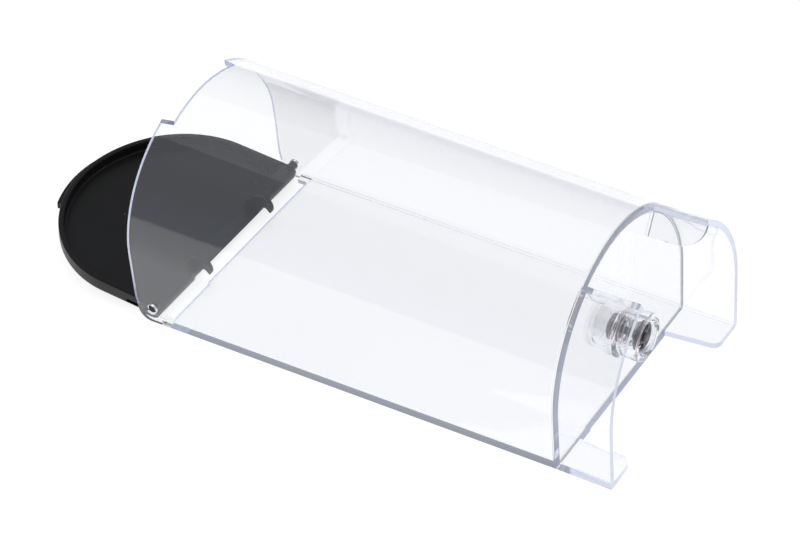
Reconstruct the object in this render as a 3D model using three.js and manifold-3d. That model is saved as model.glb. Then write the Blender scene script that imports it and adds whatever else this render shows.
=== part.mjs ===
// Removable water tank of a small capsule coffee machine, lying on its flat back with its lid open.
// Millimetres. +X runs from the open (lid) end to the valve end, +Z is up, the flat back rests on z = 0.
// The design coordinates put x = 0 on the rim plane; the last lines shift the group so that the origin is
// the bottom centre of the whole assembly.
import * as THREE from 'three';
import { mergeVertices } from 'three/addons/utils/BufferGeometryUtils.js';
import Module from 'manifold-3d';

const wasm = await Module();
wasm.setup();

// ---- driving dimensions ----
const A0 = 43.64, A1 = 42.0, A2 = 42.16;      // half-width at the rim, at the bottom wall, at the feet
const H0 = 67.27, H1 = 64.22, H2 = 64.92;     // height at the same three stations
const SIDE0 = 27.2, SIDE = 22.1;              // height of the straight part of the sides, at the rim and from the bottom wall on
const POW0 = 1.947, POW = 1.94;               // exponent of the arched part at the same two stations
const L = 155.24, LS = 17.92, LT = L + LS;    // rim to bottom wall (outer face), skirt depth, total
const T = 2.07, TB = 1.93;                    // wall and bottom wall
const XBACK = 12.31;                          // where the flat back starts, behind the hinge gap
const XLEDGE = 8.7, LEDGE_Y = 39.0;           // small ledges that the side walls keep at the gap's ends
const NOTCH_HALF = 17.5, NOTCH_DEPTH = 4.37;  // rim notch for the thumb tab
const PIN_X = 5.7, PIN_Z = 5.6, PIN_R = 1.5, PIN_HOLE_R = 1.85, EAR_R = 5.1;
const CUT_HALF = 21.5, FIN_DEPTH = 10.0, FIN_T = 1.6;   // front cut-out of the skirt and its stiffening fins
const REAR_IN0 = 27.2, REAR_IN1 = 28.7, REAR_R = 3.0;   // rear cut-out half-widths and foot corner radius
const BOSS_Z = 24.2, BOSS_R = 7.9, BOSS_X1 = 163.75, FLANGE_R = 8.8, INNER_R = 6.8, INNER_X0 = 146.6;
const BORE_R = 5.35, IN_BORE_R = 5.8, SEAT_R = 3.6, SEAT_X0 = 153.9, SEAT_X1 = 155.5;
const LID_A = 41.07, LID_B = 37.35, LID_XC = -16.12, LID_POW = 1.947, LID_H = 5.42, LID_W = 1.8, LID_FLOOR = 1.6;
const LID_X1 = 7.4, LID_ROUND = 1.6;
const LID_TILT = 5.7;                         // the open lid's free end stands this many degrees off flat
const TAB_HALF = 15.6, TAB_OUT = 2.45, TAB_T = 2.4;
const CLAW_Y = 18.1, CLAW_T = 1.7;
const SPRING_R = 3.9, WIRE_R = 0.3, SPRING_X0 = 155.85, SPRING_X1 = 161.2, TURNS = 4;
const GAP = 0.3;

// ---- helpers ----
function solid(geometry) {
  const g = geometry.clone();
  g.deleteAttribute('normal');
  if (g.attributes.uv) g.deleteAttribute('uv');
  const m = mergeVertices(g, 1e-4);
  return new wasm.Manifold(new wasm.Mesh({
    numProp: 3,
    vertProperties: new Float32Array(m.attributes.position.array),
    triVerts: new Uint32Array(m.index.array),
  }));
}
function geometryOf(man) {
  const m = man.getMesh();
  const g = new THREE.BufferGeometry();
  const p = new Float32Array(m.numVert * 3);
  for (let i = 0; i < m.numVert; i++) for (let k = 0; k < 3; k++) p[3 * i + k] = m.vertProperties[i * m.numProp + k];
  g.setAttribute('position', new THREE.BufferAttribute(p, 3));
  g.setIndex(new THREE.BufferAttribute(new Uint32Array(m.triVerts), 1));
  const flat = g.toNonIndexed();
  flat.computeVertexNormals();
  return flat;
}
const lerp = (a, b, t) => a + (b - a) * t;
const halfAt = (x) => (x <= L ? lerp(A0, A1, x / L) : lerp(A1, A2, (x - L) / LS));
const highAt = (x) => (x <= L ? lerp(H0, H1, x / L) : lerp(H1, H2, (x - L) / LS));
const sideAt = (x) => (x <= L ? lerp(SIDE0, SIDE, x / L) : SIDE);
const powAt = (x) => (x <= L ? lerp(POW0, POW, x / L) : POW);
const bend = (v, e) => Math.sign(v) * Math.abs(v) ** e;
const at = (x, y, z) => new THREE.Matrix4().makeTranslation(x, y, z);

// arched D section in (y, z): flat bottom at zb, straight sides, half superellipse on top
function section(a, h, zb, corner, seg) {
  const s = new THREE.Shape();
  s.moveTo(-(a - corner), zb);
  s.lineTo(a - corner, zb);
  if (corner > 0) s.absarc(a - corner, zb + corner, corner, -Math.PI / 2, 0, false);
  s.lineTo(a, SIDE0);
  for (let i = 1; i < seg; i++) {
    const t = (Math.PI * i) / seg;
    s.lineTo(a * bend(Math.cos(t), 2 / POW0), SIDE0 + (h - SIDE0) * bend(Math.sin(t), 2 / POW0));
  }
  s.lineTo(-a, SIDE0);
  if (corner > 0) s.absarc(-(a - corner), zb + corner, corner, Math.PI, 1.5 * Math.PI, false);
  s.closePath();
  return s;
}
// that section swept through stations along x with the tank's own taper
function taper(stations, inset, zb, corner, seg = 56) {
  const a = A0 - inset, h = H0 - inset, steps = stations.length - 1;
  const g = new THREE.ExtrudeGeometry(section(a, h, zb, corner, seg), { depth: steps, steps, bevelEnabled: false, curveSegments: 5 });
  const p = g.attributes.position;
  for (let i = 0; i < p.count; i++) {
    const sy = p.getX(i), sz = p.getY(i), x = stations[Math.round(p.getZ(i))];
    const ax = halfAt(x) - inset, hx = highAt(x) - inset;
    if (sz < SIDE0 - 1e-4) { p.setXYZ(i, x, sy * ax / a, sz); continue; }
    // same share of the arch, drawn with this station's own side height and exponent
    const c = bend(sy / a, POW0 / powAt(x)), w = bend(Math.max(sz - SIDE0, 0) / (h - SIDE0), POW0 / powAt(x));
    p.setXYZ(i, x, ax * c, sideAt(x) + (hx - sideAt(x)) * w);
  }
  return solid(g);
}
function box(x0, x1, y0, y1, z0, z1) {
  const g = new THREE.BoxGeometry(x1 - x0, y1 - y0, z1 - z0);
  g.applyMatrix4(at((x0 + x1) / 2, (y0 + y1) / 2, (z0 + z1) / 2));
  return solid(g);
}
// outline in (x, z), extruded along y from y0 to y1
function slabY(points, y0, y1) {
  const g = new THREE.ExtrudeGeometry(new THREE.Shape(points.map(([x, z]) => new THREE.Vector2(x, z))), { depth: y1 - y0, bevelEnabled: false });
  g.applyMatrix4(new THREE.Matrix4().makeRotationX(Math.PI / 2));
  g.applyMatrix4(at(0, y1, 0));
  return solid(g);
}
// outline in (x, y), extruded along z from z0 to z1
function slabZ(points, z0, z1) {
  const g = new THREE.ExtrudeGeometry(new THREE.Shape(points.map(([x, y]) => new THREE.Vector2(x, y))), { depth: z1 - z0, bevelEnabled: false });
  g.applyMatrix4(at(0, 0, z0));
  return solid(g);
}
// closed or axis-to-axis profile of (radius, x) turned about the valve axis
function turned(profile, seg = 40) {
  const g = new THREE.LatheGeometry(profile.map(([r, x]) => new THREE.Vector2(r, x)), seg);
  g.applyMatrix4(new THREE.Matrix4().makeRotationZ(-Math.PI / 2));
  g.applyMatrix4(at(0, 0, BOSS_Z));
  let s = solid(g);
  return s;
}
const ring = (r0, r1, x0, x1, seg) => turned([[r0, x0], [r1, x0], [r1, x1], [r0, x1], [r0, x0]], seg);
const disc = (r, x0, x1, seg) => turned([[0, x0], [r, x0], [r, x1], [0, x1]], seg);
function rodY(x, z, r, y0, y1, seg = 32) {
  const g = new THREE.CylinderGeometry(r, r, y1 - y0, seg);
  g.applyMatrix4(at(x, (y0 + y1) / 2, z));
  return solid(g);
}
function arc(cx, cz, r, a0, a1, n) {
  const out = [];
  for (let i = 0; i <= n; i++) {
    const t = lerp(a0, a1, i / n) * Math.PI / 180;
    out.push([cx + r * Math.cos(t), cz + r * Math.sin(t)]);
  }
  return out;
}

// ---- tank body: one clear moulding ----
let tank = taper([0, L, LT], 0, 0, 1.0);
tank = tank.subtract(taper([-2, L - TB], T, T, 1.2));
tank = tank.subtract(taper([L, LT + 2], T, T, 1.2));
// hinge gap: the flat back stops short between the two ears
tank = tank.subtract(box(-3, XLEDGE, -(A0 - T - 0.15), A0 - T - 0.15, -1, T + 1.3)).subtract(box(XLEDGE - 1, XBACK, -LEDGE_Y, LEDGE_Y, -1, T + 1.3));
// rounded ears, concentric with the pin
const earCut = slabY([[-4, 9.5], [0, 9.5], ...arc(PIN_X, PIN_Z, EAR_R, 178, 270, 14), [XBACK, PIN_Z - EAR_R], [XBACK, -2], [-4, -2]], -60, 60);
tank = tank.subtract(earCut);
// thumb notch in the rim
tank = tank.subtract(slabZ([[-3, -(NOTCH_HALF + 0.6)], [NOTCH_DEPTH, -(NOTCH_HALF - 0.6)], [NOTCH_DEPTH, NOTCH_HALF - 0.6], [-3, NOTCH_HALF + 0.6]], 50, 80));
// skirt: front cut-out, then rear cut-out with rounded foot corners
tank = tank.subtract(box(L, LT + 3, -CUT_HALF, CUT_HALF, 45, 80));
const rear = (s) => {
  const c = [];
  for (let i = 0; i <= 6; i++) {
    const t = Math.PI * (i / 12);
    c.push([LT - REAR_R + REAR_R * Math.sin(t), s * (REAR_IN1 + REAR_R - REAR_R * Math.cos(t))]);
  }
  return c;
};
tank = tank.subtract(slabZ([[L, -REAR_IN0], ...rear(-1), [LT + 3, -(REAR_IN1 + REAR_R)], [LT + 3, REAR_IN1 + REAR_R], ...rear(1).reverse(), [L, REAR_IN0]], -2, T + 1.4));
// stiffening fins along the front cut edges, reaching towards the middle of the D
for (const side of [-1, 1]) {
  const s = new THREE.Shape();
  const x0 = L - 0.8, x1 = LT - 0.2, curl = 8.5;
  s.moveTo(x0, 0.4);
  s.lineTo(x1, 0.4);
  for (let i = 0; i <= 10; i++) {
    const t = (Math.PI / 2) * (i / 10);
    s.lineTo(x1 - curl + curl * Math.cos(t), 2.0 + (FIN_DEPTH - 2.0) * Math.sin(t));
  }
  s.lineTo(x0, FIN_DEPTH);
  s.closePath();
  const g = new THREE.ExtrudeGeometry(s, { depth: FIN_T, bevelEnabled: false });
  // plate axes: first along x, second inward from the skin, third along the skin away from the cut
  const inward = new THREE.Vector3(0, -side * 0.53, -0.848);
  const xa = new THREE.Vector3(1, 0, 0);
  const third = new THREE.Vector3().crossVectors(xa, inward);
  const m = new THREE.Matrix4().makeBasis(xa, inward, third);
  const edgeY = side * (CUT_HALF + (side * third.y > 0 ? 0 : FIN_T));
  const c = CUT_HALF / A1;
  const edgeZ = SIDE + (H1 - SIDE) * (1 - c ** POW) ** (1 / POW);
  m.setPosition(0, edgeY, edgeZ);
  g.applyMatrix4(m);
  tank = tank.add(solid(g).intersect(taper([L - 2, L, LT], 0.05, 0, 0)));
}
// round hole in the bottom wall for the valve housing
tank = tank.subtract(disc(INNER_R + GAP, L - 6, L + 3, 48));
// pin holes through both ears
tank = tank.subtract(rodY(PIN_X, PIN_Z, PIN_HOLE_R, -60, 60));

// ---- lid: one black moulding, drawn flat (tray side up) in tank coordinates ----
function lidOutline(w, hingeX, cornerR, seg = 44) {
  const a = LID_A - w, b = LID_B - w, pts = [];
  for (let i = 0; i <= 5; i++) {
    const t = (Math.PI / 2) * (i / 5);
    pts.push([hingeX - cornerR + cornerR * Math.cos(t), a - cornerR + cornerR * Math.sin(t)]);
  }
  for (let i = 0; i <= seg; i++) {
    const t = Math.PI / 2 + (Math.PI * i) / seg;
    pts.push([LID_XC + b * bend(Math.cos(t), 2 / LID_POW), a * bend(Math.sin(t), 2 / LID_POW)]);
  }
  for (let i = 0; i <= 5; i++) {
    const t = -Math.PI / 2 + (Math.PI / 2) * (i / 5);
    pts.push([hingeX - cornerR + cornerR * Math.cos(t), -(a - cornerR) + cornerR * Math.sin(t)]);
  }
  return pts;
}
const toShape = (pts) => new THREE.Shape(pts.map(([x, y]) => new THREE.Vector2(x, y)));
const pan = new THREE.ExtrudeGeometry(toShape(lidOutline(0, LID_X1, 2.2)), {
  depth: LID_H + 1, bevelEnabled: true, bevelThickness: LID_ROUND, bevelSize: LID_ROUND, bevelOffset: -LID_ROUND, bevelSegments: 3,
});
pan.applyMatrix4(at(0, 0, LID_ROUND));
let lid = solid(pan).intersect(box(-80, 20, -60, 60, -5, LID_H));
// hinge edge rounded about the pin
lid = lid.intersect(slabY([[-80, -1], [3.2, -1], [3.2, 0], ...arc(4.4, 3.0, 3.0, 270, 360, 6).map(([x, z]) => [x, z]), ...arc(5.4, LID_H - 2.0, 2.0, 0, 90, 6), [-80, LID_H]], -60, 60));
lid = lid.subtract(slabZ(lidOutline(LID_W, 2.2, 1.2), LID_FLOOR, LID_H + 2));
// lowered, sloping strip between the claws
lid = lid.subtract(slabY([[0.5, 3.7], [1.6, 3.7], [8.5, 1.1], [12, 1.1], [12, 9], [0.5, 9]], -(CLAW_Y - CLAW_T / 2), CLAW_Y - CLAW_T / 2));
// thumb tab
lid = lid.add((() => {
  const pts = [[-44, -TAB_HALF + 1.5]];
  for (let i = 0; i <= 12; i++) {
    const y = lerp(-TAB_HALF, TAB_HALF, i / 12);
    // the tab runs parallel to the lid's own edge
    pts.push([LID_XC - LID_B * (1 - Math.abs(y / LID_A) ** LID_POW) ** (1 / LID_POW) - TAB_OUT, y]);
  }
  pts.push([-44, TAB_HALF - 1.5]);
  const order = pts.slice().reverse();
  return slabZ(order, 0.05, TAB_T).subtract(slabZ(lidOutline(LID_W - 0.9, 2.2, 1.2), LID_FLOOR - 0.6, 9));
})());
// claws over the edge of the flat back
const claw = [[4.4, 3.2], [8.2, 3.6], [8.9, 5.5], [10.4, 5.6], [11.2, 4.9], [11.9, 4.2], [12.4, 5.4], [12.3, 6.9], [11.5, 8.3], [10.0, 9.3], [8.0, 9.5], [5.6, 8.6], [3.6, 6.4], [3.2, 5.0]];
for (const y of [-CLAW_Y, CLAW_Y]) lid = lid.add(slabY(claw, y - CLAW_T / 2, y + CLAW_T / 2));
// mould slots low in the side walls
for (const s of [-1, 1]) lid = lid.subtract(box(-6, -0.5, Math.min(s * (LID_A - 0.9), s * 45), Math.max(s * (LID_A - 0.9), s * 45), 1.3, 2.6));
// stub pins
for (const s of [-1, 1]) lid = lid.add(rodY(PIN_X, PIN_Z, PIN_R, Math.min(s * 39, s * 43.25), Math.max(s * 39, s * 43.25)))
  .add(rodY(PIN_X - 0.9, 3.4, 2.4, Math.min(s * 38.4, s * (LID_A - 0.25)), Math.max(s * 38.4, s * (LID_A - 0.25))));

// ---- valve ----
// housing: spout with its flange against the outer face, collar inside, stepped bore with the seat
let housing = disc(BOSS_R, L + GAP, BOSS_X1, 48).add(disc(FLANGE_R, L + GAP, L + 1.4, 48)).add(disc(INNER_R, INNER_X0, L + 1, 48));
housing = housing.subtract(turned([[0, SEAT_X1], [BORE_R, SEAT_X1], [BORE_R, BOSS_X1 - 0.6], [BORE_R + 0.6, BOSS_X1 + 0.01], [BORE_R + 0.6, BOSS_X1 + 2], [0, BOSS_X1 + 2]], 48));
housing = housing.subtract(disc(IN_BORE_R, INNER_X0 - 1, SEAT_X0, 48));
housing = housing.subtract(disc(SEAT_R, SEAT_X0 - 1, SEAT_X1 + 1, 40));
// stem: poppet head inside the tank, shaft through the seat, snap end outside
const stem = turned([[0, 150.0], [3.2, 150.0], [4.3, 150.6], [4.3, 151.8], [1.25, 151.8], [1.25, 162.8], [1.7, 162.8], [1.7, 163.1], [1.2, 163.5], [0, 163.5]], 32);
// seal: soft ring under the head
const seal = turned([[1.55, 152.1], [4.7, 152.1], [5.0, 152.5], [5.0, 153.1], [4.6, 153.6], [1.55, 153.6], [1.55, 152.1]], 36);
// guide pressed in the seat: outer ring, hub and three spokes
let guide = ring(2.85, SEAT_R - GAP, 154.1, 155.3, 36).add(ring(1.5, 2.0, 154.1, 155.3, 30));
for (let i = 0; i < 3; i++) {
  const g = new THREE.BoxGeometry(1.2, 1.2, 0.7);
  g.applyMatrix4(at(154.7, 2.4, 0));
  g.applyMatrix4(new THREE.Matrix4().makeRotationX((i * 2 * Math.PI) / 3));
  g.applyMatrix4(at(0, 0, BOSS_Z));
  guide = guide.add(solid(g));
}
// collar snapped on the stem, with three windows for the water
let collar = ring(1.55, 4.9, 161.5, 162.5, 40);
for (let i = 0; i < 3; i++) {
  const s = new THREE.Shape();
  const a0 = (i * 120 + 10) * Math.PI / 180, a1 = (i * 120 + 110) * Math.PI / 180;
  s.absarc(0, 0, 4.0, a0, a1, false);
  s.absarc(0, 0, 2.2, a1, a0, true);
  s.closePath();
  const g = new THREE.ExtrudeGeometry(s, { depth: 3, bevelEnabled: false, curveSegments: 8 });
  g.applyMatrix4(new THREE.Matrix4().makeRotationY(Math.PI / 2));
  g.applyMatrix4(at(160.5, 0, BOSS_Z));
  collar = collar.subtract(solid(g));
}
// spring: four turns of round wire
class Coil extends THREE.Curve {
  getPoint(t, v = new THREE.Vector3()) {
    const a = t * TURNS * 2 * Math.PI;
    return v.set(lerp(SPRING_X0 + WIRE_R, SPRING_X1 - WIRE_R, t), SPRING_R * Math.cos(a), BOSS_Z + SPRING_R * Math.sin(a));
  }
}
const wire = new THREE.Shape();
wire.absarc(0, 0, WIRE_R, 0, 2 * Math.PI, false);
const spring = solid(new THREE.ExtrudeGeometry(wire, { extrudePath: new Coil(), steps: 112, bevelEnabled: false, curveSegments: 4 }));

// ---- scene ----
const paint = (color, roughness, metalness, extra = {}) => new THREE.MeshStandardMaterial({ color, roughness, metalness, ...extra });
const clear = paint(0xdfe4ea, 0.08, 0, { transparent: true, opacity: 0.3 });
const black = paint(0x1b1b1c, 0.45, 0);
const group = new THREE.Group();
function put(name, man, material, parent = group) {
  const mesh = new THREE.Mesh(geometryOf(man), material);
  mesh.name = name;
  parent.add(mesh);
  return mesh;
}
put('tank_body', tank, clear);
const hinge = new THREE.Group();
hinge.position.set(PIN_X, 0, PIN_Z);
hinge.rotation.y = LID_TILT * Math.PI / 180;
group.add(hinge);
put('lid', lid.translate([-PIN_X, 0, -PIN_Z]), black, hinge);
put('valve_housing', housing, clear);
put('valve_stem', stem, paint(0x202022, 0.4, 0));
put('poppet_seal', seal, paint(0x8a3a33, 0.6, 0));
put('guide_bush', guide, paint(0xe6e8ea, 0.35, 0));
put('spring_collar', collar, paint(0x242426, 0.4, 0));
put('valve_spring', spring, paint(0xc4c6c8, 0.25, 1));

group.updateMatrixWorld(true);
const bounds = new THREE.Box3().setFromObject(group, true);
group.position.x = -(bounds.min.x + bounds.max.x) / 2;
group.updateMatrixWorld(true);
export default group;
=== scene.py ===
import math

import bmesh
import bpy
from mathutils import Matrix, Vector


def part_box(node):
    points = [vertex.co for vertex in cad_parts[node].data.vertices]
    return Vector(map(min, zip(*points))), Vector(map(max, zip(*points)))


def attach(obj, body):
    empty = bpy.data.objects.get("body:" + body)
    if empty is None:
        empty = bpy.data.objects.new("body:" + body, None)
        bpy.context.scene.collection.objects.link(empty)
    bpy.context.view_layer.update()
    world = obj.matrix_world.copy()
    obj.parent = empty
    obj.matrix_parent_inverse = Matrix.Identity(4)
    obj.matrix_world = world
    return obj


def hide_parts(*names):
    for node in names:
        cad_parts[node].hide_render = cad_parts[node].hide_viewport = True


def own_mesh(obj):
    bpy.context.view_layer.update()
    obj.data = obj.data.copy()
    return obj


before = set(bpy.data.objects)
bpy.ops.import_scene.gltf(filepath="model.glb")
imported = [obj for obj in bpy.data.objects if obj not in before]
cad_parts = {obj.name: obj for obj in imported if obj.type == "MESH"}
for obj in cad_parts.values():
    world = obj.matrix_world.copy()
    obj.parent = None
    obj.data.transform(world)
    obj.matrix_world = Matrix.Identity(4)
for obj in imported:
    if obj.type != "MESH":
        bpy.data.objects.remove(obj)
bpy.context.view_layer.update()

# All shapes below are written in millimetres with x = 0 on the tank's rim plane, and placed by the packed
# frame: the rim plane is the low end of the tank body.
MM = 0.001
X0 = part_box("tank_body")[0].x / MM

A0, A1, A2 = 43.64, 42.0, 42.16
H0, H1, H2 = 67.27, 64.22, 64.92
SIDE0, SIDE = 27.2, 22.1
POW0, POW = 1.947, 1.94
L, LS = 155.24, 17.92
LT = L + LS
T, TB = 2.07, 1.93
PIN_X, PIN_Z = 5.7, 5.6
BOSS_Z = 24.2
TILT = math.radians(5.7)


# ------------------------------------------------------------------ mesh helpers
def new_object(name, verts, faces):
    me = bpy.data.meshes.new(name)
    me.from_pydata([tuple(v) for v in verts], [], faces)
    me.validate()
    ob = bpy.data.objects.new(name, me)
    bpy.context.scene.collection.objects.link(ob)
    return ob


def fix_normals(ob):
    bm = bmesh.new()
    bm.from_mesh(ob.data)
    bmesh.ops.remove_doubles(bm, verts=bm.verts, dist=1e-4)
    bmesh.ops.recalc_face_normals(bm, faces=bm.faces)
    bm.to_mesh(ob.data)
    bm.free()
    return ob


def rings_to_mesh(name, rings, cap=True, closed=False):
    """Rings of equal length, joined one to the next."""
    n = len(rings[0])
    verts = [p for r in rings for p in r]
    faces = []
    m = len(rings)
    for k in range(m if closed else m - 1):
        a, b = k * n, ((k + 1) % m) * n
        for i in range(n):
            j = (i + 1) % n
            faces.append((a + i, a + j, b + j, b + i))
    if cap and not closed:
        faces.append(tuple(range(n))[::-1])
        faces.append(tuple(range((m - 1) * n, m * n)))
    return fix_normals(new_object(name, verts, faces))


def evaluated(ob):
    dg = bpy.context.evaluated_depsgraph_get()
    return bpy.data.meshes.new_from_object(ob.evaluated_get(dg))


def boolean(a, b, op, keep=False):
    m = a.modifiers.new("b", "BOOLEAN")
    m.object, m.operation, m.solver = b, op, "EXACT"
    me = evaluated(a)
    a.modifiers.clear()
    a.data = me
    if not keep:
        bpy.data.objects.remove(b)
    return a


def cut(a, b):
    return boolean(a, b, "DIFFERENCE")


def join(a, b):
    return boolean(a, b, "UNION")


def block(x0, x1, y0, y1, z0, z1):
    v = [(x, y, z) for x in (x0, x1) for y in (y0, y1) for z in (z0, z1)]
    f = [(0, 1, 3, 2), (4, 6, 7, 5), (0, 4, 5, 1), (2, 3, 7, 6), (0, 2, 6, 4), (1, 5, 7, 3)]
    return fix_normals(new_object("block", v, f))


def slab(points, lo, hi, axis):
    """An outline extruded along one axis. The outline is (x, z) for axis y, and (x, y) for axis z."""
    def place(p, t):
        return (p[0], t, p[1]) if axis == "y" else (p[0], p[1], t)
    return rings_to_mesh("slab", [[place(p, lo) for p in points], [place(p, hi) for p in points]])


def arc(cx, cz, r, a0, a1, n):
    return [(cx + r * math.cos(math.radians(a0 + (a1 - a0) * i / n)), cz + r * math.sin(math.radians(a0 + (a1 - a0) * i / n))) for i in range(n + 1)]


def turned(profile, seg=96, name="turned"):
    """A closed (radius, x) profile turned about the valve axis."""
    rings = []
    for k in range(seg):
        a = 2 * math.pi * k / seg
        rings.append([(x, r * math.cos(a), BOSS_Z + r * math.sin(a)) for r, x in profile])
    return rings_to_mesh(name, rings, closed=True)


def solid_turned(profile, seg=96, name="turned"):
    """A (radius, x) profile whose ends lie on the axis: the first and last rings are closed by one face each."""
    eps = [(max(r, 0.02), x) for r, x in profile]
    rings = [[(x, r * math.cos(2 * math.pi * k / seg), BOSS_Z + r * math.sin(2 * math.pi * k / seg)) for k in range(seg)] for r, x in eps]
    return rings_to_mesh(name, rings)


def rod_y(x, z, r, y0, y1, seg=48, chamfer=0.0):
    def ring(y, rr):
        return [(x + rr * math.cos(2 * math.pi * k / seg), y, z + rr * math.sin(2 * math.pi * k / seg)) for k in range(seg)]
    rings = [ring(y0, r - chamfer)] + ([ring(y0 + chamfer, r), ring(y1 - chamfer, r)] if chamfer else []) + [ring(y1, r - chamfer)]
    return rings_to_mesh("rod", rings)


def tidy(ob, dist):
    """Merges the slivers left where a bevel was clamped."""
    bm = bmesh.new()
    bm.from_mesh(ob.data)
    bmesh.ops.remove_doubles(bm, verts=bm.verts, dist=dist)
    bmesh.ops.dissolve_degenerate(bm, edges=bm.edges, dist=dist)
    bm.to_mesh(ob.data)
    bm.free()


def finish_mesh(ob, name, body, nodes, material, bevel=0.0, angle=32, segments=2, limit=40, merge=0.004):
    ob.name = name
    ob.data.name = name
    if bevel:
        m = ob.modifiers.new("edge", "BEVEL")
        m.width, m.segments, m.limit_method, m.angle_limit = bevel, segments, "ANGLE", math.radians(limit)
        m.use_clamp_overlap = True
        m.harden_normals = False
        me = evaluated(ob)
        ob.modifiers.clear()
        ob.data = me
    tidy(ob, merge)
    ob.data.transform(Matrix.Translation((X0 * MM, 0, 0)) @ Matrix.Scale(MM, 4))
    ob.data.shade_smooth()
    ob.data.set_sharp_from_angle(angle=math.radians(angle))
    m = ob.modifiers.new("normals", "WEIGHTED_NORMAL")
    m.mode, m.weight, m.keep_sharp = "FACE_AREA", 90, True
    me = evaluated(ob)
    ob.modifiers.clear()
    ob.data = me
    ob.data.materials.clear()
    ob.data.materials.append(material)
    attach(ob, body)
    if nodes:
        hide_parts(*nodes)
    return ob


# ------------------------------------------------------------------ materials
class Tree:
    def __init__(self, name):
        self.mat = bpy.data.materials.new(name)
        self.mat.use_nodes = True
        self.nt = self.mat.node_tree
        self.nt.nodes.clear()
        self.out = self.nt.nodes.new("ShaderNodeOutputMaterial")

    def add(self, kind, **values):
        n = self.nt.nodes.new("ShaderNode" + kind)
        for k, v in values.items():
            key = k.replace("_", " ")
            if key in n.inputs:
                n.inputs[key].default_value = v
            else:
                setattr(n, k, v)
        return n

    def link(self, a, b):
        self.nt.links.new(a, b)

    def noise(self, scale, detail=3.0, rough=0.55, stretch=None):
        c = self.add("TexCoord")
        v = c.outputs["Object"]
        if stretch:
            m = self.add("Mapping")
            m.inputs["Scale"].default_value = stretch
            self.link(v, m.inputs["Vector"])
            v = m.outputs["Vector"]
        n = self.add("TexNoise", Scale=scale, Detail=detail, Roughness=rough)
        self.link(v, n.inputs["Vector"])
        return n.outputs["Fac"]

    def ramp(self, fac, stops):
        r = self.add("ValToRGB")
        e = r.color_ramp.elements
        while len(e) < len(stops):
            e.new(0.5)
        for el, (p, c) in zip(e, stops):
            el.position = p
            el.color = (*c, 1) if len(c) == 3 else c
        self.link(fac, r.inputs["Fac"])
        return r.outputs["Color"]

    def span(self, fac, lo, hi, a=0.3, b=0.7):
        m = self.add("MapRange")
        m.inputs["From Min"].default_value, m.inputs["From Max"].default_value = a, b
        m.inputs["To Min"].default_value, m.inputs["To Max"].default_value = lo, hi
        self.link(fac, m.inputs["Value"])
        return m.outputs["Result"]

    def bump(self, height, strength, distance, normal=None):
        b = self.add("Bump")
        b.inputs["Strength"].default_value, b.inputs["Distance"].default_value = strength, distance
        self.link(height, b.inputs["Height"])
        if normal:
            self.link(normal, b.inputs["Normal"])
        return b.outputs["Normal"]


def clear_plastic(name, tint, density, edge=None):
    t = Tree(name)
    p = t.add("BsdfPrincipled", Roughness=0.03, IOR=1.53)
    p.inputs["Transmission Weight"].default_value = 1.0
    p.inputs["Base Color"].default_value = (0.972, 0.974, 0.978, 1)
    # handled plastic: faint haze and wipe marks, fine flow lines along the moulding
    wipe = t.noise(38, 4, 0.6, (1.0, 1.0, 1.0))
    flow = t.noise(60, 2, 0.5, (0.08, 1.0, 1.0))
    t.link(t.span(wipe, 0.002, 0.014), p.inputs["Roughness"])
    t.link(t.bump(flow, 0.012, 0.00006), p.inputs["Normal"])
    if edge:
        # cut and rim faces get a painted blue-grey colour and a painted glow (emission) standing in for the light
        # carried inside the wall, and are a little frosted
        p.inputs["Transmission Weight"].default_value = 0.45
        t.link(t.ramp(wipe, [(0.3, edge[0]), (0.7, edge[1])]), p.inputs["Base Color"])
        t.link(t.span(wipe, 0.24, 0.36), p.inputs["Roughness"])
        p.inputs["Emission Color"].default_value = (*edge[1], 1)
        p.inputs["Emission Strength"].default_value = edge[2]
    see = t.add("BsdfTransparent")
    see.inputs["Color"].default_value = (0.996, 0.997, 0.998, 1)
    path = t.add("LightPath")
    both = t.add("Math", operation="MAXIMUM")
    t.link(path.outputs["Is Shadow Ray"], both.inputs[0])
    t.link(path.outputs["Is Diffuse Ray"], both.inputs[1])
    mix = t.add("MixShader")
    t.link(both.outputs[0], mix.inputs["Fac"])
    t.link(p.outputs[0], mix.inputs[1])
    t.link(see.outputs[0], mix.inputs[2])
    t.link(mix.outputs[0], t.out.inputs["Surface"])
    v = t.add("VolumeAbsorption")
    v.inputs["Color"].default_value = (*tint, 1)
    v.inputs["Density"].default_value = density
    # painted glow: the plastic's volume emits a faint blue-grey light of its own, standing in for light carried
    # along inside the walls; seen only where the line of sight runs a long way through plastic
    painted_glow = t.add("Emission", Strength=density)
    painted_glow.inputs["Color"].default_value = (0.60 * (1 - tint[0]), 0.65 * (1 - tint[1]), 0.80 * (1 - tint[2]), 1)
    inside = t.add("AddShader")
    t.link(v.outputs[0], inside.inputs[0])
    t.link(painted_glow.outputs[0], inside.inputs[1])
    t.link(inside.outputs[0], t.out.inputs["Volume"])
    return t.mat


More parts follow.
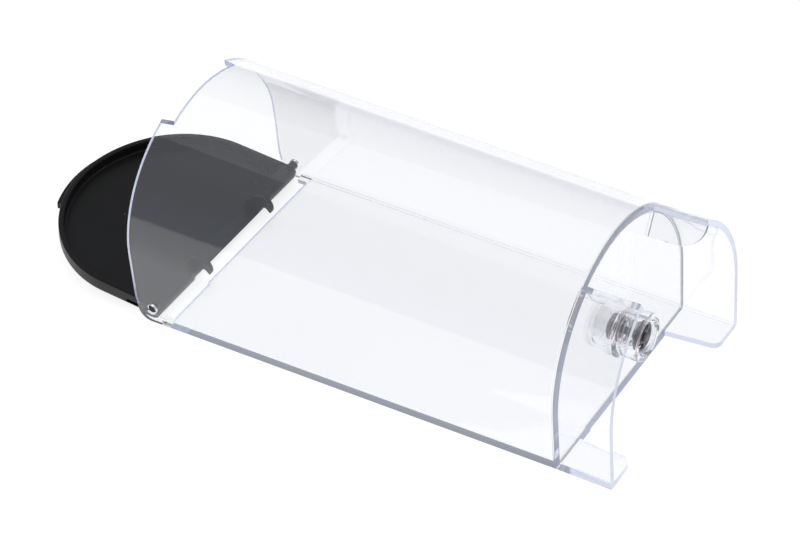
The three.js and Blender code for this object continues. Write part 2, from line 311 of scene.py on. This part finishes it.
def moulded(name, dark, light, rough, grain, specks=0.0, clear=0.0):
    t = Tree(name)
    p = t.add("BsdfPrincipled", Roughness=rough, IOR=1.5)
    p.inputs["Specular IOR Level"].default_value = 0.30
    p.inputs["Transmission Weight"].default_value = clear
    broad = t.noise(22, 4, 0.6)
    fine = t.noise(1500, 2, 0.5)
    colour = t.ramp(broad, [(0.3, dark), (0.72, light)])
    if specks:
        dots = t.add("TexVoronoi", Scale=170.0)
        c = t.add("TexCoord")
        t.link(c.outputs["Object"], dots.inputs["Vector"])
        near = t.ramp(dots.outputs["Distance"], [(0.0, (1, 1, 1)), (specks, (0, 0, 0))])
        pick = t.noise(70, 1, 0.5)
        few = t.ramp(pick, [(0.47, (0, 0, 0)), (0.50, (1, 1, 1))])
        both = t.add("Mix", data_type="RGBA", blend_type="MULTIPLY")
        both.inputs[0].default_value = 1.0
        t.link(near, both.inputs[6])
        t.link(few, both.inputs[7])
        m = t.add("Mix", data_type="RGBA")
        t.link(both.outputs[2], m.inputs[0])
        t.link(colour, m.inputs[6])
        m.inputs[7].default_value = (0.32, 0.32, 0.31, 1)
        colour = m.outputs[2]
    t.link(colour, p.inputs["Base Color"])
    t.link(t.span(broad, rough - 0.07, rough + 0.08), p.inputs["Roughness"])
    t.link(t.bump(fine, grain, 0.00004), p.inputs["Normal"])
    t.link(p.outputs[0], t.out.inputs["Surface"])
    return t.mat


def steel(name):
    t = Tree(name)
    p = t.add("BsdfPrincipled", Metallic=1.0, Roughness=0.22)
    n = t.noise(900, 3, 0.6, (1, 0.2, 0.2))
    t.link(t.ramp(n, [(0.3, (0.50, 0.50, 0.51)), (0.7, (0.72, 0.72, 0.73))]), p.inputs["Base Color"])
    t.link(t.span(n, 0.16, 0.32), p.inputs["Roughness"])
    t.link(t.bump(n, 0.12, 0.00003), p.inputs["Normal"])
    t.link(p.outputs[0], t.out.inputs["Surface"])
    return t.mat


def silicone(name):
    t = Tree(name)
    p = t.add("BsdfPrincipled", Roughness=0.5, IOR=1.42)
    p.inputs["Subsurface Weight"].default_value = 0.15
    p.inputs["Subsurface Radius"].default_value = (0.002, 0.0006, 0.0004)
    n = t.noise(420, 3, 0.6)
    t.link(t.ramp(n, [(0.3, (0.24, 0.035, 0.03)), (0.7, (0.36, 0.07, 0.05))]), p.inputs["Base Color"])
    t.link(t.span(n, 0.42, 0.6), p.inputs["Roughness"])
    t.link(t.bump(n, 0.1, 0.00004), p.inputs["Normal"])
    t.link(p.outputs[0], t.out.inputs["Surface"])
    return t.mat


CLEAR = clear_plastic("clear_plastic", (0.50, 0.50, 0.53), 42.0)
# rim and cut-face materials: painted blue-grey colour and a painted glow (emission) standing in for light carried
# inside the wall
EDGE_PAINTED_GLOW = clear_plastic("clear_plastic_edge_painted_glow", (0.50, 0.50, 0.53), 42.0, edge=((0.36, 0.42, 0.74), (0.48, 0.54, 0.84), 0.05))
CUTS_PAINTED_GLOW = clear_plastic("clear_plastic_cuts_painted_glow", (0.50, 0.50, 0.53), 42.0, edge=((0.70, 0.74, 0.90), (0.80, 0.84, 0.95), 0.22))
CLEAR_VALVE = clear_plastic("clear_plastic_valve", (0.50, 0.50, 0.53), 20.0)
BLACK = moulded("black_plastic", (0.006, 0.006, 0.0062), (0.011, 0.011, 0.0112), 0.38, 0.025, specks=0.05)
STEM = moulded("stem_plastic", (0.16, 0.16, 0.19), (0.24, 0.24, 0.28), 0.30, 0.05, clear=0.6)
GUIDE = moulded("guide_plastic", (0.62, 0.63, 0.64), (0.74, 0.75, 0.76), 0.30, 0.05)
SEAL = silicone("seal_rubber")
STEEL = steel("spring_steel")


# ------------------------------------------------------------------ tank body
def lerp(a, b, t):
    return a + (b - a) * t


def half_at(x):
    return lerp(A0, A1, x / L) if x <= L else lerp(A1, A2, (x - L) / LS)


def high_at(x):
    return lerp(H0, H1, x / L) if x <= L else lerp(H1, H2, (x - L) / LS)


def section(x, inset, zb, corner, seg=150):
    a, h = half_at(x) - inset, high_at(x) - inset
    side = lerp(SIDE0, SIDE, x / L) if x <= L else SIDE
    power = lerp(POW0, POW, x / L) if x <= L else POW
    pts = []
    n = 6
    for y, z in arc(a - corner, zb + corner, corner, -90, 0, n):
        pts.append((x, y, z))
    for i in range(1, 6):
        pts.append((x, a, lerp(zb + corner, side, i / 6)))
    for i in range(seg + 1):
        t = math.pi * i / seg
        c, w = math.cos(t), math.sin(t)
        pts.append((x, a * math.copysign(abs(c) ** (2 / power), c), side + (h - side) * max(w, 0) ** (2 / power)))
    for i in range(1, 6):
        pts.append((x, -a, lerp(side, zb + corner, i / 6)))
    for y, z in arc(-(a - corner), zb + corner, corner, 180, 270, n):
        pts.append((x, y, z))
    return pts


def shell(stations, name="shell"):
    return rings_to_mesh(name, [section(*s) for s in stations])


STEPS = (3, 6, 9, 12.6, 17, 25, 38, 55, 75, 95, 115, 132, 144)
tank = shell([(0, 0, 0, 1.0)] + [(x, 0, 0, 1.0) for x in STEPS] + [(151, 0, 0, 1.0), (L, 0, 0, 1.0), (L + 6, 0, 0, 1.0), (L + 12, 0, 0, 1.0), (LT, 0, 0, 1.0)])
# cavity, with the small moulded radius round the bottom wall
r = 1.0
cavity = [(-2, T, T, 1.2)] + [(x, T, T, 1.2) for x in STEPS]
for i in range(6):
    a = math.radians(90 * i / 5)
    cavity.append((L - TB - r + r * math.sin(a), T + r * (1 - math.cos(a)), T + r * (1 - math.cos(a)), 1.2))
tank = cut(tank, shell(cavity))
pocket = [(L, T, T, 1.2), (L + 6, T, T, 1.2), (L + 12, T, T, 1.2), (LT + 2, T, T, 1.2)]
tank = cut(tank, shell(pocket))
# hinge gap with its ledges, rounded ears, thumb notch
XBACK, EAR_R = 12.31, 5.1
tank = cut(tank, block(-3, 8.7, -(A0 - T - 0.15), A0 - T - 0.15, -1, T + 1.3))
tank = cut(tank, block(7.7, XBACK, -39.0, 39.0, -1, T + 1.3))
tank = cut(tank, slab([(-4, 9.5), (0, 9.5)] + arc(PIN_X, PIN_Z, EAR_R, 178, 270, 24) + [(XBACK, PIN_Z - EAR_R), (XBACK, -2), (-4, -2)], -60, 60, "y"))
NH, ND = 17.5, 4.37
tank = cut(tank, slab([(-3, -(NH + 0.6)), (ND, -(NH - 0.6)), (ND, NH - 0.6), (-3, NH + 0.6)], 50, 80, "z"))
# skirt: front cut-out, rear cut-out with rounded feet
CUT = 21.5
tank = cut(tank, block(L, LT + 3, -CUT, CUT, 45, 80))


def rear(s):
    return [(LT - 3 + 3 * math.sin(math.pi * i / 24), s * (28.7 + 3 - 3 * math.cos(math.pi * i / 24))) for i in range(13)]


tank = cut(tank, slab([(L, -27.2)] + rear(-1) + [(LT + 3, -31.7), (LT + 3, 31.7)] + rear(1)[::-1] + [(L, 27.2)], -2, T + 1.4, "z"))
# stiffening fins
for side in (-1, 1):
    x0, x1, bend = L - 0.8, LT - 0.2, 8.5
    pts = [(x0, 0.4), (x1, 0.4)]
    for i in range(19):
        a = math.radians(90 * i / 18)
        pts.append((x1 - bend + bend * math.cos(a), 2.0 + 8.0 * math.sin(a)))
    pts.append((x0, 10.0))
    inward = Vector((0, -side * 0.53, -0.848))
    third = Vector((1, 0, 0)).cross(inward)
    y = side * (CUT + (0 if side * third.y > 0 else 1.6))
    z = SIDE + (H1 - SIDE) * (1 - (CUT / A1) ** POW) ** (1 / POW)
    rings = [[Vector((0, y, z)) + Vector((p, 0, 0)) + inward * q + third * d for p, q in pts] for d in (0.0, 1.6)]
    fin = rings_to_mesh("fin", rings)
    fin = boolean(fin, shell([(L - 2, 0.05, 0, 0.3), (L, 0.05, 0, 0.3), (LT, 0.05, 0, 0.3)]), "INTERSECT")
    tank = join(tank, fin)
# hole for the valve housing, and the pin holes with their small lead-in
tank = cut(tank, solid_turned([(0, L - 6), (7.1, L - 6), (7.1, L + 3), (0, L + 3)]))
tank = cut(tank, rod_y(PIN_X, PIN_Z, 1.85, -60, 60))
# vertical flow rib on the inside of the bottom wall
tank = join(tank, block(L - TB - 0.22, L - TB + 0.5, -0.3, 0.3, 34.0, 61.2))
finish_mesh(tank, "tank_shell", "tank", ["tank_body"], CLEAR, bevel=0.2, segments=3)
# rim, notch, hinge-gap back and bottom-wall faces take the rim material, feet and end faces the cut material;
# both carry painted blue-grey colour and a painted glow
tank.data.materials.append(EDGE_PAINTED_GLOW)
tank.data.materials.append(CUTS_PAINTED_GLOW)
for f in tank.data.polygons:
    x, y, z = f.center.x / MM - X0, f.center.y / MM, f.center.z / MM
    rim = x < 0.35 and f.normal.x < -0.3
    notch = abs(x - ND) < 0.35 and abs(y) < 18.4 and z > 55 and f.normal.x < -0.3
    back = abs(x - XBACK) < 0.3 and z < T + 0.1 and f.normal.x < -0.3
    wall = abs(x - L) < 0.3 and z < T + 0.1 and abs(y) < 27.6 and f.normal.x > 0.6
    foot = L + 0.5 < x < LT and z < T + 0.2 and abs(y) < 32.0 and abs(f.normal.z) < 0.3
    if rim or notch or back or wall:
        f.material_index = 1
    elif foot or (x > LT - 0.12 and f.normal.x > 0.6):
        f.material_index = 2

# ------------------------------------------------------------------ lid
LA, LB, LXC, LH, LPOW = 41.07, 37.35, -16.12, 5.42, 1.947


def lid_ring(w, hx, z, corner, seg=110):
    a, b = LA - w, LB - w
    pts = [(x, y, z) for x, y in arc(hx - corner, a - corner, corner, 0, 90, 8)]
    for i in range(1, 8):
        pts.append((lerp(hx - corner, LXC, i / 8), a, z))
    for i in range(seg + 1):
        t = math.pi / 2 + math.pi * i / seg
        c, w2 = math.cos(t), math.sin(t)
        pts.append((LXC - b * abs(c) ** (2 / LPOW), a * math.copysign(abs(w2) ** (2 / LPOW), w2), z))
    for i in range(1, 8):
        pts.append((lerp(LXC, hx - corner, i / 8), -a, z))
    pts += [(x, y, z) for x, y in arc(hx - corner, -(a - corner), corner, -90, 0, 8)]
    return pts


LX1 = 7.4
rings = []
r = 1.6
for i in range(7):
    a = math.radians(90 * i / 6)
    w = r * (1 - math.sin(a))
    rings.append(lid_ring(w, LX1 - w, r * (1 - math.cos(a)), 2.2))
r = 0.45
for i in range(5):
    a = math.radians(90 * i / 4)
    w = r * (1 - math.cos(a))
    rings.append(lid_ring(w, LX1 - w, LH - r * (1 - math.sin(a)), 2.2))
for i in range(5):
    a = math.radians(90 * i / 4)
    w = 1.8 - 0.4 * (1 - math.sin(a))
    rings.append(lid_ring(w, 2.2 + 0.4 * (1 - math.sin(a)), LH - 0.4 * (1 - math.cos(a)), 1.3))
r = 0.6
for i in range(5):
    a = math.radians(90 * i / 4)
    w = 1.8 + r * (1 - math.cos(a))
    rings.append(lid_ring(w, 2.2 - r * (1 - math.cos(a)), 1.6 + r * (1 - math.sin(a)), 1.3))
lid = rings_to_mesh("lid", rings)
# hinge edge rounded about the pins
lid = boolean(lid, slab([(-80, -1), (3.2, -1), (3.2, 0)] + arc(4.4, 3.0, 3.0, 270, 360, 12) + arc(5.4, LH - 2.0, 2.0, 0, 90, 12) + [(-80, LH)], -60, 60, "y"), "INTERSECT")
CY, CT = 18.1, 1.7
lid = cut(lid, slab([(0.5, 3.7), (1.6, 3.7), (8.5, 1.1), (12, 1.1), (12, 9), (0.5, 9)], -(CY - CT / 2), CY - CT / 2, "y"))
# thumb tab
TH = 15.6
tab = [(-44, -TH + 1.5)] + [(LXC - LB * (1 - abs(k / 16 * TH / LA) ** LPOW) ** (1 / LPOW) - 2.45, k / 16 * TH) for k in range(-16, 17)] + [(-44, TH - 1.5)]
tab = slab(tab, 0.05, 2.4, "z")
inner = rings_to_mesh("inner", [lid_ring(0.9, 3.1, 1.0, 1.3), lid_ring(0.9, 3.1, 9.0, 1.3)])
lid = join(lid, cut(tab, inner))
claw = [(4.4, 3.2), (8.2, 3.6), (8.9, 5.5), (9.6, 5.75), (10.4, 5.6), (11.2, 4.9), (11.9, 4.2), (12.3, 4.7), (12.4, 5.5), (12.35, 6.4), (12.1, 7.3), (11.5, 8.3), (10.8, 8.95), (10.0, 9.35), (9.0, 9.55), (8.0, 9.5), (6.8, 9.2), (5.6, 8.6), (4.4, 7.6), (3.6, 6.4), (3.2, 5.0)]
for y in (-CY, CY):
    lid = join(lid, slab(claw, y - CT / 2, y + CT / 2, "y"))
for s in (-1, 1):
    lo, hi = sorted((s * (LA - 0.9), s * 45))
    lid = cut(lid, block(-6, -0.5, lo, hi, 1.3, 2.6))
    lo, hi = sorted((s * 39, s * 43.2))
    lid = join(lid, rod_y(PIN_X, PIN_Z, 1.5, lo, hi, chamfer=0.3))
    lo, hi = sorted((s * 38.4, s * (LA - 0.25)))
    lid = join(lid, rod_y(PIN_X - 0.9, 3.4, 2.4, lo, hi))
lid.data.transform(Matrix.Translation((PIN_X, 0, PIN_Z)) @ Matrix.Rotation(TILT, 4, "Y") @ Matrix.Translation((-PIN_X, 0, -PIN_Z)))
finish_mesh(lid, "lid_moulding", "lid", ["lid"], BLACK, bevel=0.18, segments=2, merge=0.0008)

# ------------------------------------------------------------------ valve
G = 0.3
housing = turned([
    (3.6, 153.9), (5.8, 153.9), (5.8, 146.95), (6.1, 146.6), (6.5, 146.6), (6.8, 146.9), (6.8, L + G), (8.55, L + G), (8.8, L + G + 0.25),
    (8.8, L + 1.15), (8.55, L + 1.4), (8.2, L + 1.5), (7.95, L + 1.85), (7.9, L + 2.3), (7.9, 163.35), (7.75, 163.62), (7.5, 163.75), (6.1, 163.75), (5.85, 163.6),
    (5.35, 163.1), (5.35, 155.5), (3.6, 155.5)], seg=128)
finish_mesh(housing, "valve_spout", "tank", ["valve_housing"], CLEAR_VALVE, angle=35)

stem = solid_turned([(0, 150.0), (2.9, 150.0), (3.3, 150.1), (4.1, 150.5), (4.3, 150.75), (4.3, 151.6), (4.1, 151.8), (1.45, 151.8), (1.25, 152.0), (1.25, 162.75), (1.6, 162.8), (1.7, 162.9), (1.7, 163.1), (1.55, 163.3), (1.2, 163.5), (0, 163.5)], seg=72)
finish_mesh(stem, "stem", "valve", ["valve_stem"], STEM)

seal = turned([(1.6, 152.1), (4.6, 152.1), (4.85, 152.2), (5.0, 152.5), (5.0, 153.05), (4.85, 153.4), (4.55, 153.6), (4.0, 153.45), (3.9, 153.6), (1.6, 153.6)], seg=96)
finish_mesh(seal, "seal_ring", "valve", ["poppet_seal"], SEAL)

guide = join(turned([(2.85, 154.1), (3.3, 154.1), (3.3, 155.3), (2.85, 155.3)], 72), turned([(1.5, 154.1), (2.0, 154.1), (2.0, 155.3), (1.5, 155.3)], 72))
for k in range(3):
    b = block(154.1, 155.3, 1.85, 3.0, -0.35, 0.35)
    b.data.transform(Matrix.Translation((0, 0, BOSS_Z)) @ Matrix.Rotation(2 * math.pi * k / 3, 4, "X"))
    guide = join(guide, b)
finish_mesh(guide, "guide", "tank", ["guide_bush"], GUIDE, bevel=0.08, merge=0.001)

collar = turned([(1.6, 161.5), (4.75, 161.5), (4.9, 161.65), (4.9, 162.35), (4.75, 162.5), (1.6, 162.5)], 96)
for k in range(3):
    a0, a1 = math.radians(k * 120 + 10), math.radians(k * 120 + 110)
    pts = [(4.0, lerp(a0, a1, i / 12)) for i in range(13)] + [(2.2, lerp(a1, a0, i / 12)) for i in range(13)]
    # window outlines turn the same way round as in the CAD model
    rings = [[(x, -rr * math.sin(a), BOSS_Z - rr * math.cos(a)) for rr, a in pts] for x in (160.5, 163.5)]
    collar = cut(collar, rings_to_mesh("window", rings))
finish_mesh(collar, "collar", "valve", ["spring_collar"], STEM, bevel=0.08)

SR, WR, SX0, SX1, TURNS = 3.9, 0.3, 155.85, 161.2, 4
steps, sides = 72 * TURNS, 12
rings = []
for k in range(steps + 1):
    t = k / steps
    a = 2 * math.pi * TURNS * t
    # end turns lie flat, as ground ends do
    e = min(max((t * TURNS - 0.5) / (TURNS - 1.0), 0.0), 1.0)
    x = lerp(SX0 + WR, SX1 - WR, e)
    c = Vector((x, SR * math.cos(a), BOSS_Z + SR * math.sin(a)))
    radial = Vector((0, math.cos(a), math.sin(a)))
    rings.append([c + radial * (WR * math.cos(2 * math.pi * i / sides)) + Vector((1, 0, 0)) * (WR * math.sin(2 * math.pi * i / sides)) for i in range(sides)])
spring = rings_to_mesh("coil", rings)
finish_mesh(spring, "coil_spring", "tank", ["valve_spring"], STEEL, angle=60)
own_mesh(spring)

# ------------------------------------------------------------------ floor, light, camera
bpy.ops.mesh.primitive_plane_add(size=6.0, location=(0, 0, -0.0003))
floor = bpy.context.object
floor.name = "floor"
fm = Tree("floor_white")
fp = fm.add("BsdfPrincipled", Roughness=0.9)
fp.inputs["Emission Color"].default_value = (1, 1, 1, 1)
fp.inputs["Emission Strength"].default_value = 0.86
fp.inputs["Base Color"].default_value = (0.36, 0.36, 0.36, 1)
fp.inputs["Specular IOR Level"].default_value = 0.1
fm.link(fp.outputs[0], fm.out.inputs["Surface"])
floor.data.materials.append(fm.mat)


def area(name, loc, target, size, power, colour=(1, 1, 1)):
    d = bpy.data.lights.new(name, "AREA")
    d.shape, d.size, d.size_y, d.energy, d.color = "RECTANGLE", size[0], size[1], power, colour
    o = bpy.data.objects.new(name, d)
    o.location = loc
    o.rotation_euler = (Vector(target) - Vector(loc)).to_track_quat("-Z", "Y").to_euler()
    o.visible_glossy = False
    bpy.context.scene.collection.objects.link(o)
    return o


area("key", (-0.25, 0.25, 1.5), (0, 0, 0), (1.8, 1.8), 7)

world = bpy.data.worlds.new("studio")
bpy.context.scene.world = world
world.use_nodes = True
wn = world.node_tree
wn.nodes.clear()
wo = wn.nodes.new("ShaderNodeOutputWorld")
bg = wn.nodes.new("ShaderNodeBackground")
tc = wn.nodes.new("ShaderNodeTexCoord")
sep = wn.nodes.new("ShaderNodeSeparateXYZ")
rampn = wn.nodes.new("ShaderNodeValToRGB")
els = rampn.color_ramp.elements
els.new(0.6)
for el, (pos, col) in zip(els, [(0.0, (0.52, 0.55, 0.64, 1)), (0.6, (0.44, 0.45, 0.48, 1)), (1.0, (0.62, 0.62, 0.63, 1))]):
    el.position, el.color = pos, col
wn.links.new(tc.outputs["Generated"], sep.inputs[0])
wn.links.new(sep.outputs["Z"], rampn.inputs["Fac"])
wn.links.new(rampn.outputs["Color"], bg.inputs["Color"])
bg.inputs["Strength"].default_value = 0.75
wn.links.new(bg.outputs[0], wo.inputs["Surface"])

scene = bpy.context.scene
scene.view_settings.view_transform = "Standard"
scene.view_settings.look = "None"
scene.cycles.max_bounces = 48
scene.cycles.transmission_bounces = 48
scene.cycles.transparent_max_bounces = 32
scene.cycles.caustics_refractive = False
scene.cycles.caustics_reflective = False

cam = bpy.data.cameras.new("camera")
cam.lens, cam.sensor_width, cam.sensor_fit = 126.903, 36.0, "HORIZONTAL"
cam.clip_start, cam.clip_end = 0.05, 20.0
co = bpy.data.objects.new("camera", cam)
scene.collection.objects.link(co)
right = Vector((0.8502128, 0.5225470, -0.0638974))
down = Vector((0.2974438, -0.5769736, -0.7606764))
ahead = Vector((-0.4343563, 0.6277309, -0.6459787))
rot = Matrix((right, -down, -ahead)).transposed()
co.matrix_world = Matrix.Translation((X0 * MM + 0.4659853, -0.5658025, 0.6001860)) @ rot.to_4x4()
scene.camera = co
